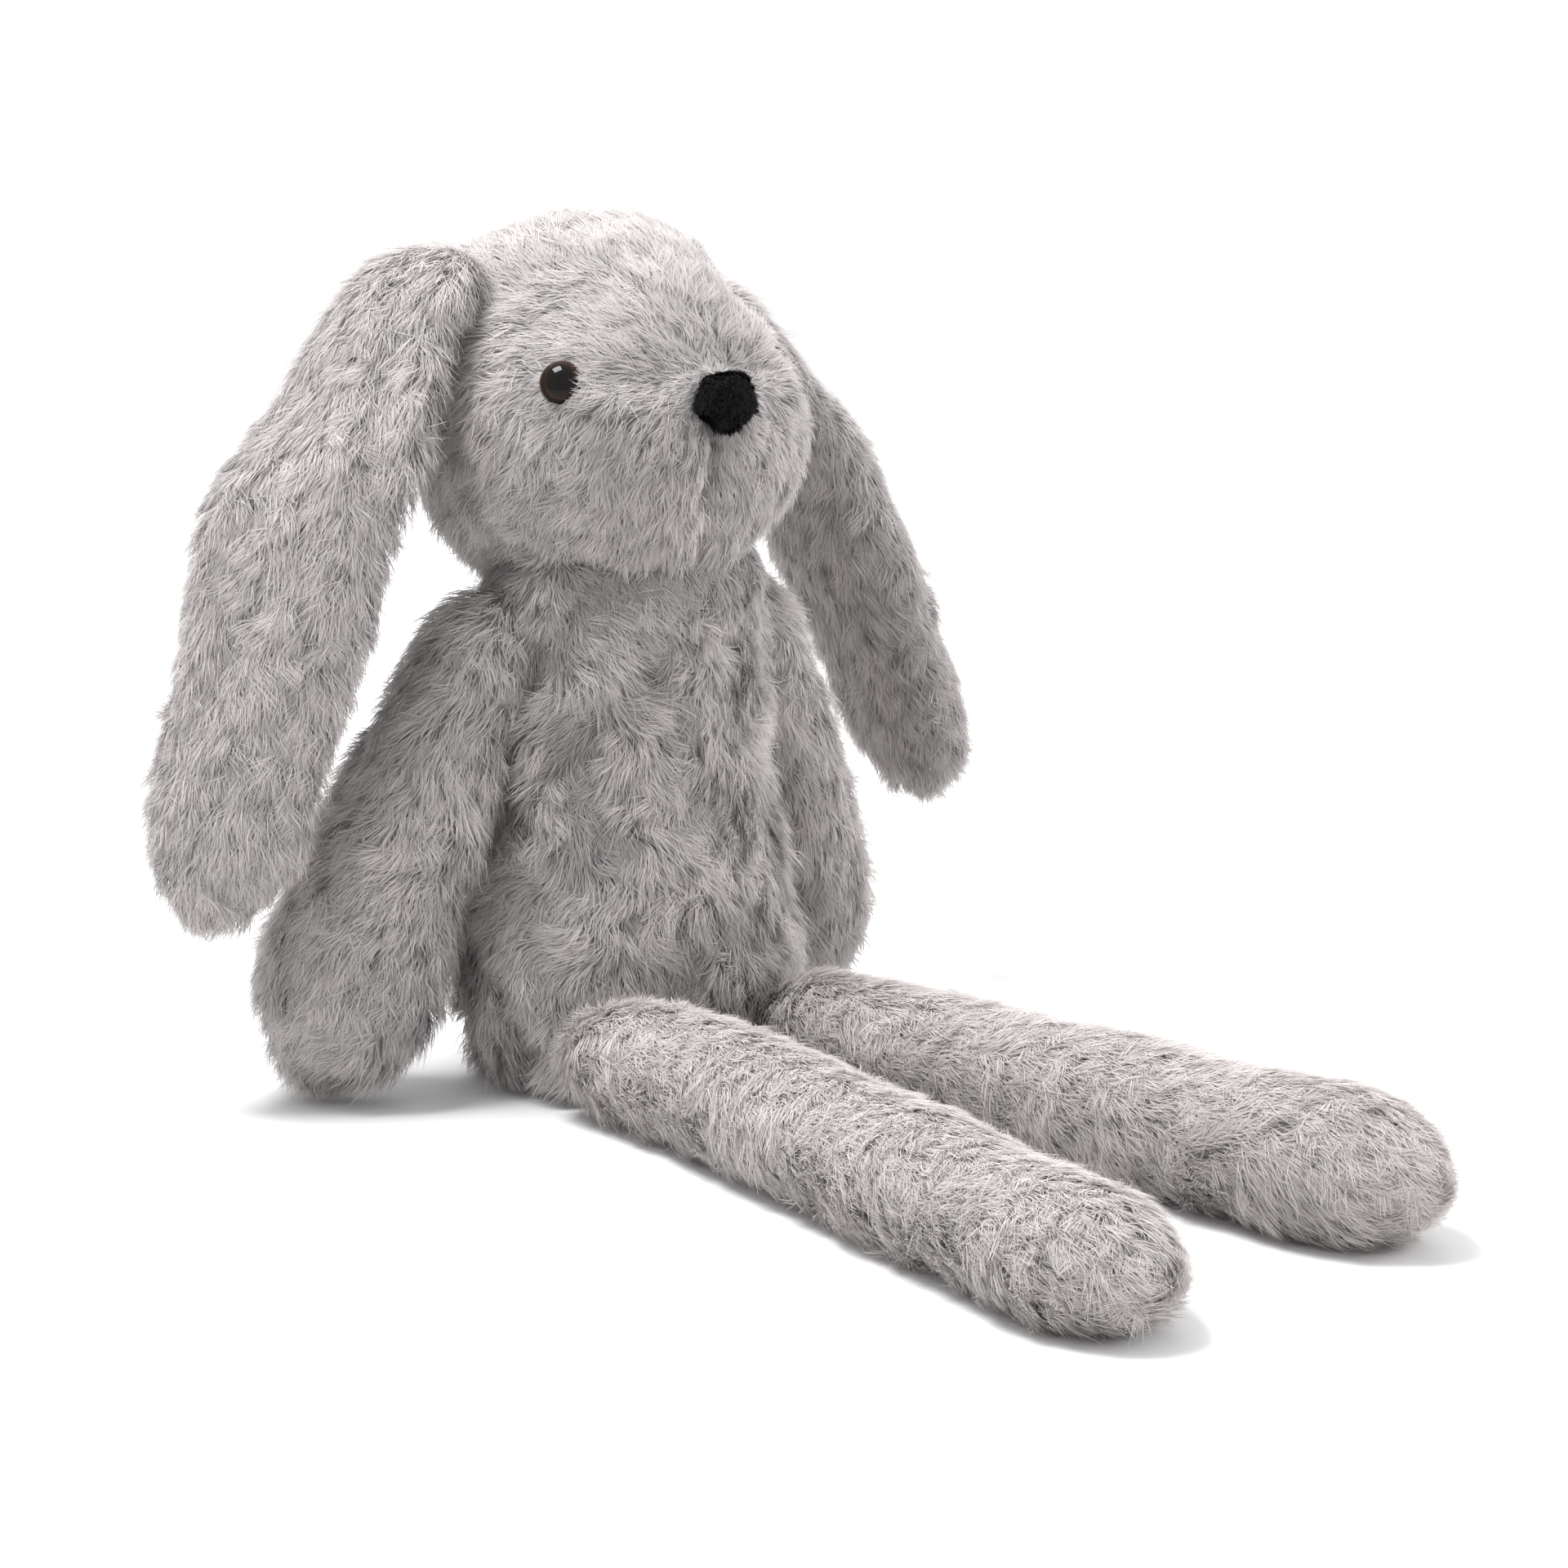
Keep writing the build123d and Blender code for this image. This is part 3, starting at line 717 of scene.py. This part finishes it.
def make_head():
    """The head, combed back from the nose and down over the cheeks."""
    covers = ["head_gusset", "head_left_panel", "head_right_panel"]
    skin = outer_skin("head_skin", covers)
    finish_skin(skin, "head", covers)
    nose = middle_of("nose")
    eyes = [middle_of(f"{name}_eye") for name in SIDES]
    centre = middle_of(*covers)

    def press(place, reach, amount):
        """Swells or sinks the head at a place given in millimetres from its middle."""
        swell(skin, centre + np.array(place) * MM, reach * MM, amount * MM)

    for side in SIDES.values():
        press([side * 33, 10, -24], 20, 7)              # cheek
        press([side * 31, 24, 30], 22, 8)               # under the ear's root
        press([side * 22, -26, -14], 15, 3.5)           # muzzle
        press([side * 20, -36, 20], 13, -3.5)           # beside the bridge
    press([0, -44, -14], 5, -1.6)                       # under the nose
    press([0, -46, 24], 14, -3)                         # bridge
    press([0, 16, 42], 24, 2.2)                         # crown
    press([0, -26, -34], 15, 3)                         # chin
    press([0, -24, 36], 20, -3)                         # forehead
    for side in SIDES.values():
        press([side * 27, -16, 27], 17, -6.5)           # temple
    for eye in eyes:
        swell(skin, eye + unit(nose - eye) * 9 * MM, 6 * MM, 1.6 * MM)

    # Two sewn creases run from beside the nose to the eyes, and one from under the nose over the chin.
    points = mesh_points(skin)
    for eye, side in zip(eyes, SIDES.values()):
        start = nose + np.array([side * 5, 6, 3]) * MM
        along = eye - start
        share = np.clip((points - start) @ along / (along @ along), 0, 1)
        apart = np.linalg.norm(points - start - share[:, None] * along, axis=1)
        clear_of = np.minimum(away(points, eye), away(points, nose)) - 6 * MM
        depth = EYE_CREASE[0] * bell(apart, EYE_CREASE[1]) * np.clip(clear_of / (5 * MM), 0, 1)
        points -= point_normals(skin) * depth[:, None]
    below = (points[:, 2] < nose[2] - 5 * MM) & (points[:, 1] < centre[1])
    points[:, 1] += CHIN_CREASE[0] * bell(points[:, 0], CHIN_CREASE[1]) * below
    set_points(skin, points)
    fill_out("head_filling", skin, "head", "head_stuffing", gap=3 * MM)

    def groom(points, normals):
        """Away from the nose, hanging more when low or at the side, and parted on the creases to the eyes."""
        low = np.clip((nose[2] + 4 * MM - points[:, 2]) / (30 * MM), 0, 1)
        aside = np.clip(np.abs(points[:, 0]) / (40 * MM), 0, 1)
        hang = (0.25 + 0.9 * low + 0.35 * aside) * np.clip(1.3 - (points[:, 2] - centre[2]) / (30 * MM), 0, 1)
        flow = unit(points - nose)
        flow[:, 2] -= hang
        back = np.clip((points[:, 1] - nose[1]) / (eyes[0][1] - nose[1]), 0, 2.5)
        above = points[:, 2] - nose[2] - (eyes[0][2] - nose[2]) * np.minimum(back, 1) - 1 * MM
        flow[:, 2] += 0.9 * np.tanh(above / (3 * MM)) * bell(above, 12 * MM) * bell(back - 0.6, 0.9)
        return flow

    def from_eyes(points):
        return np.min([away(points, eye) for eye in eyes], axis=0)

    def trim(points):
        """Short round the eyes and the nose, long at the jaw."""
        by_eye = np.clip((from_eyes(points) - 2 * MM) / (9 * MM), 0.46, 1)
        by_nose = np.clip(0.5 + (away(points, nose) - 8 * MM) / (30 * MM), 0.42, 1)
        jaw = np.clip((centre[2] - 24 * MM - points[:, 2]) / (12 * MM), 0, 1)
        return by_eye * by_nose * (1 + 0.4 * jaw)

    def clear(points):
        return (from_eyes(points) > EYE_BARE) & (away(points, nose) > NOSE_BARE)

    coat = {"trim": trim, "lay": 0.42, "length": 8.6 * MM, "ruffle": 0.22}
    furred("head_gusset_pile", skin, "head", groom, lambda p: clear(p) & (np.abs(p[:, 0]) <= GUSSET_HALF),
           seed=41, wander=0.2, lock=2.4 * MM, **coat)
    for name, side in SIDES.items():
        furred(f"head_{name}_pile", skin, "head", groom, lambda p: clear(p) & (p[:, 0] * side > GUSSET_HALF),
               seed=42 + side, wander=0.22, lock=2.6 * MM, **coat)


# The ears don't hang alike: each has its own move of the root from the CAD's, turn of the part below it,
# widening of its lower part, spreading of its root, and pushes of the root, front edge and rear edge.
EAR_SHIFT = {"left": np.array([-5, 0, 1]) * MM, "right": np.array([11, -3, 13]) * MM}
EAR_TWIST = {"left": math.radians(22), "right": 0.0}
EAR_WIDER = {"left": 1.0, "right": 0.0}
EAR_SPREAD = {"left": 0.6, "right": 0.3}
EAR_ROOT_AHEAD = {"left": 3 * MM, "right": -1 * MM}
EAR_FORWARD = {"left": 0.0, "right": 17 * MM}
EAR_BACKWARD = {"left": 4 * MM, "right": 15 * MM}
EAR_BEND = 40 * MM                   # how far below the root an ear comes to hang straight


def make_ear(name):
    """A flat ear of two layers, combed to its tip."""
    body = f"{name}_ear"
    covers = [f"{name}_ear_outer", f"{name}_ear_inner"]
    skin = outer_skin(f"{name}_ear_skin", covers)
    root = joint_spot(f"{name}_ear_flop")
    low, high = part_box(covers[0])
    middle = middle_of(*covers)
    side = SIDES[name]
    broad = unit(np.array([-0.52 * side, -0.85, 0]))

    points = mesh_points(skin)
    near = bell(away(points, root), 52 * MM)
    points += broad * (((points - root) @ broad * EAR_SPREAD[name] + EAR_ROOT_AHEAD[name]) * near)[:, None]
    points += EAR_SHIFT[name] * near[:, None]

    twist = EAR_TWIST[name] * np.clip((root[2] - points[:, 2]) / EAR_BEND, 0, 1)
    share = np.clip((root[2] - points[:, 2]) / (root[2] - low[2]), 0, 1)[:, None]
    spine = root + (np.array([middle[0], middle[1], low[2]]) - root) * share
    off = points - spine
    points[:, 0] = spine[:, 0] + off[:, 0] * np.cos(twist) - off[:, 1] * np.sin(twist)
    points[:, 1] = spine[:, 1] + off[:, 0] * np.sin(twist) + off[:, 1] * np.cos(twist)

    below = np.clip((root[2] - points[:, 2]) / EAR_BEND, 0, 1)
    aside = unit(np.array([0.8 * side, -0.6, 0]))
    points += aside * (((points - spine) @ aside * 0.25 + 0.5 * MM) * below * EAR_WIDER[name])[:, None]

    cheek = root + np.array([0, -14, -34]) * MM
    corner = root + np.array([side * 34, 14, -10]) * MM
    inward = np.array([-side * 9, -4, -12]) * MM
    rear = root + np.array([side * 12, 24, -34]) * MM
    points += broad * (EAR_FORWARD[name] * bell(away(points, cheek), 30 * MM))[:, None]
    points += inward * bell(away(points, corner), 24 * MM)[:, None]
    points -= broad * (EAR_BACKWARD[name] * bell(away(points, rear), 24 * MM))[:, None]

    # A crease runs down the upper part of the outer side, where the ear is folded at its root.
    crease = (points - root) @ broad - 3 * MM
    upper = np.clip((points[:, 2] - low[2]) / (root[2] - low[2]) * 1.5 - 0.25, 0, 1)
    plane = np.array([side * 0.85, -0.52, 0])
    outer = np.clip(point_normals(skin) @ unit(plane), 0, 1)
    points -= point_normals(skin) * (3.2 * MM * bell(crease, 5 * MM) * upper * outer)[:, None]
    set_points(skin, points)
    finish_skin(skin, body, covers)

    tip = np.array([(high if side > 0 else low)[0], middle_of(covers[0])[1], low[2]])

    def groom(points, normals):
        """To the tip, and out and down over the root."""
        over = np.clip((points[:, 2] - (root[2] - 25 * MM)) / (25 * MM), 0, 1)
        return (unit(tip - root) * 0.5 + np.array([side * 0.5, 0, -0.6]) * over[:, None]
                + np.array([0, 0, -0.5]))

    def on_outer(points):
        """Whether points are on the ear's outer layer, past the bent middle of the ear."""
        share = np.clip((root[2] - points[:, 2]) / (root[2] - tip[2]), 0, 1)
        bent = root + (tip - root) * (share**0.6)[:, None]
        return (points - middle) @ plane > (bent - middle) @ plane

    coat = {"wander": 0.26, "length": 9.2 * MM, "lay": 0.44, "ruffle": 0.18, "lock": 2.2 * MM}
    furred(f"{name}_ear_outer_pile", skin, body, groom, on_outer, seed=51 + side, **coat)
    furred(f"{name}_ear_inner_pile", skin, body, groom, lambda p: ~on_outer(p), seed=61 + side,
           tone_shift=0.05, **coat)


ARM_SHIFT = {"left": np.array([-3, 0, 4]) * MM, "right": np.array([8, 0, 8]) * MM}      # of the shoulder


def make_arm(name):
    """An arm combed down to its end."""
    body = f"{name}_arm"
    covers = [f"{name}_arm_front_panel", f"{name}_arm_rear_panel"]
    skin = outer_skin(f"{name}_arm_skin", covers)
    side = SIDES[name]
    root = joint_spot(f"{name}_arm_swing")
    points = mesh_points(skin)
    set_points(skin, points + ARM_SHIFT[name] * bell(away(points, root), 30 * MM)[:, None])
    finish_skin(skin, body, covers)
    fill_out(f"{name}_arm_filling", skin, body, f"{name}_arm_stuffing")

    low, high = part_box(f"{name}_arm_stuffing")
    middle = middle_of(f"{name}_arm_stuffing")
    end = np.array([(high if side > 0 else low)[0] - side * 12 * MM, high[1] - 20 * MM, low[2]])
    run = unit(end - root)
    across = unit(np.cross(run, np.array([1.0, 0, 0])))

    def on_front(points):
        return (points - middle) @ across * np.sign(across[1]) <= 0

    coat = {"wander": 0.4, "floor": 0.0, "length": 9.4 * MM, "ruffle": 0.25, "lock": 2.2 * MM}
    furred(f"{name}_arm_front_pile", skin, body, combed(run), on_front, seed=71 + side, **coat)
    furred(f"{name}_arm_rear_pile", skin, body, combed(run), lambda p: ~on_front(p), seed=81 + side, **coat)


FOOT_FLAT = {"left": 0.02, "right": 0.17}            # the share by which the foot is lower than the CAD's
HIP_SHIFT = {"left": np.array([0, 0, 0]) * MM, "right": np.array([-8, 5, 0]) * MM}


def make_leg(name):
    """A leg laid on the floor, combed to the foot."""
    body = f"{name}_leg"
    covers = [f"{name}_leg_upper_panel", f"{name}_leg_lower_panel"]
    skin = outer_skin(f"{name}_leg_skin", covers)
    side = SIDES[name]
    low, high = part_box(f"{name}_leg_stuffing")
    root = joint_spot(f"{name}_leg_swing")
    points = mesh_points(skin)
    hip = np.array([root[0], high[1], root[2]])
    points += HIP_SHIFT[name] * bell(away(points, hip), 22 * MM)[:, None]
    points[:, 2] *= 1 - FOOT_FLAT[name] * np.clip((root[1] - points[:, 1]) / (root[1] - low[1]) * 1.2, 0, 1)
    set_points(skin, points)
    finish_skin(skin, body, covers)
    fill_out(f"{name}_leg_filling", skin, body, f"{name}_leg_stuffing")

    end = np.array([(high if side > 0 else low)[0] - side * 14 * MM, low[1], root[2]])

    def groom(points, normals):
        """Along the leg, and over its outer side down to the floor."""
        line = root[0] + (end[0] - root[0]) * (points[:, 1] - root[1]) / (end[1] - root[1])
        aside = np.clip((points[:, 0] - line) * side / (12 * MM) + 0.6, -1, 1)
        down = np.stack([side * aside * 0.6, np.zeros(len(points)), -0.8 * np.ones(len(points))], axis=1)
        return unit(end - root) + down * 0.25

    seam = root[2]
    half = (low[1] + high[1]) / 2
    for part, keep in (("upper_near", lambda p: (p[:, 2] > seam) & (p[:, 1] > half)),
                       ("upper_far", lambda p: (p[:, 2] > seam) & (p[:, 1] <= half)),
                       ("lower", lambda p: p[:, 2] <= seam)):
        # The legs' pile is painted lighter: painted light, standing for the light on their tops.
        furred(f"{name}_leg_{part}_pile", skin, body, groom, keep, seed=91 + side + len(part), wander=0.28,
               floor=0.0, wander_scale=40 * MM, lock=2.0 * MM, lay=0.34, length=10 * MM, ruffle=0.15,
               tone_shift=0.18, weighed=0.4)


def lathe(name, profile, base, axis, around=48):
    """A round piece from (radius, height) pairs about an axis, mapped by its radius."""
    first = unit(np.cross(axis, np.array([0, 0, 1.0])))
    second = np.cross(axis, first)
    turns = np.linspace(0, 2 * math.pi, around, endpoint=False)
    points = [base + axis * height + (first * math.cos(turn) + second * math.sin(turn)) * radius
              for radius, height in profile for turn in turns]
    lid = tuple(range((len(profile) - 1) * around, len(profile) * around))
    piece = link_mesh(name, points, ring_faces(len(profile), around) + [lid])
    mesh = piece.data
    widest = max(radius for radius, height in profile)
    places = mesh.uv_layers.new(name=STRAND_MAP).data
    for loop in mesh.loops:
        out = 0.48 * profile[loop.vertex_index // around][0] / widest
        turn = turns[loop.vertex_index % around]
        places[loop.index].uv = (0.5 + out * math.cos(turn), 0.5 + out * math.sin(turn))
    mesh.polygons.foreach_set("use_smooth", np.ones(len(mesh.polygons), dtype=bool))
    return piece


EYE_RADIUS = 5.2 * MM
EYE_RISE = 3.8 * MM                  # of the dome over its rim
EYE_SINK = {"left": 4.9 * MM, "right": 3.0 * MM}        # how much deeper each lies than the CAD's


def make_eye(name):
    """A domed eye sunk a little into the pile."""
    points, _ = node_mesh(f"{name}_eye")
    behind = middle_of(f"{name}_eye_washer")
    axis = unit(middle_of(f"{name}_eye") - behind)
    top = (points @ axis).max()
    base = behind + axis * (top - behind @ axis - 3.6 * MM - EYE_SINK[name])
    rise = np.linspace(0, math.pi / 2, 12)[:-1]
    dome = [(EYE_RADIUS * math.cos(turn), EYE_RISE * math.sin(turn)) for turn in rise]
    skirt = [(EYE_RADIUS * 0.9, -2 * MM), (EYE_RADIUS, -0.8 * MM)]
    eye = lathe(f"{name}_eye_dome", [*skirt, *dome, (0.1 * MM, EYE_RISE)], base, axis)
    eye.data.materials.append(EYE)
    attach(eye, "head")
    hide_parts(f"{name}_eye")


WASHER_SINK = 3.5 * MM               # how much deeper the washers lie than the CAD's


def make_washer(name):
    """The push-on washer of an eye or the nose, pressed into the filling."""
    points, faces = node_mesh(f"{name}_washer")
    axis = unit(middle_of(name) - middle_of(f"{name}_washer"))
    washer = link_mesh(f"{name}_washer_pressed_in", points - axis * WASHER_SINK, faces, WASHER)
    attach(washer, "head")
    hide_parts(f"{name}_washer")


NOSE_HALF_WIDTH = 7.4 * MM
NOSE_HALF_HEIGHT = 6.3 * MM
NOSE_DEPTH = 5.8 * MM
NOSE_STRANDS = 9000


def make_nose():
    """A flocked nose: a soft five-cornered pad with a short dense nap."""
    low, high = (np.array(corner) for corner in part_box("nose"))
    centre = (low + high) / 2
    around, rings = 56, 14
    points = []
    for share in np.linspace(0, 1, rings + 1):
        spread = math.sin(share * math.pi / 2)
        back = NOSE_DEPTH * (1 - (1 - share**3.2) ** 0.5)
        for turn in np.linspace(0, 2 * math.pi, around, endpoint=False):
            from_side = (turn + math.pi / 2) % (math.tau / 5) - math.pi / 5
            corner = 0.2 + 0.8 * math.cos(math.pi / 5) / math.cos(from_side)
            points.append((centre[0] + NOSE_HALF_WIDTH * corner * math.cos(turn) * spread,
                           low[1] - 0.4 * MM + back,
                           centre[2] + NOSE_HALF_HEIGHT * corner * math.sin(turn) * spread + 0.6 * MM))
    pad = link_mesh("nose_pad", points, [(a, d, c, b) for a, b, c, d in ring_faces(rings + 1, around)])
    work = bmesh.new()
    work.from_mesh(pad.data)
    bmesh.ops.remove_doubles(work, verts=work.verts, dist=0.01 * MM)
    bmesh.ops.recalc_face_normals(work, faces=work.faces)
    if sum(face.normal.y for face in work.faces) > 0:               # the pad faces ahead, along -Y
        bmesh.ops.reverse_faces(work, faces=work.faces)
    work.to_mesh(pad.data)
    work.free()
    flock = noise_cloth("nose_flock", (0.002, 0.002, 0.0024), (0.006, 0.006, 0.0065), 2500, 0.95, 0.6)
    pad.data.materials.append(flock)
    pad.data.polygons.foreach_set("use_smooth", np.ones(len(pad.data.polygons), dtype=bool))
    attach(pad, "head")
    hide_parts("nose")
    nap = grow("nose_nap", pad, "head", NOSE_STRANDS, lambda p, n: (p - centre) + np.array([0, 0, -0.004]),
               length=1.5 * MM, lay=0.9, wander=0.4, lock=0.8 * MM, pull=0.3, seed=47, width=0.13 * MM,
               material=NAP)


make_camera()
make_stage()
dress_inner()
for each in ("left_eye", "right_eye", "nose"):
    make_washer(each)
make_torso()
make_neck()
make_nose()
make_tail()
make_head()
for each in SIDES:
    make_eye(each)
    make_ear(each)
    make_arm(each)
    make_leg(each)
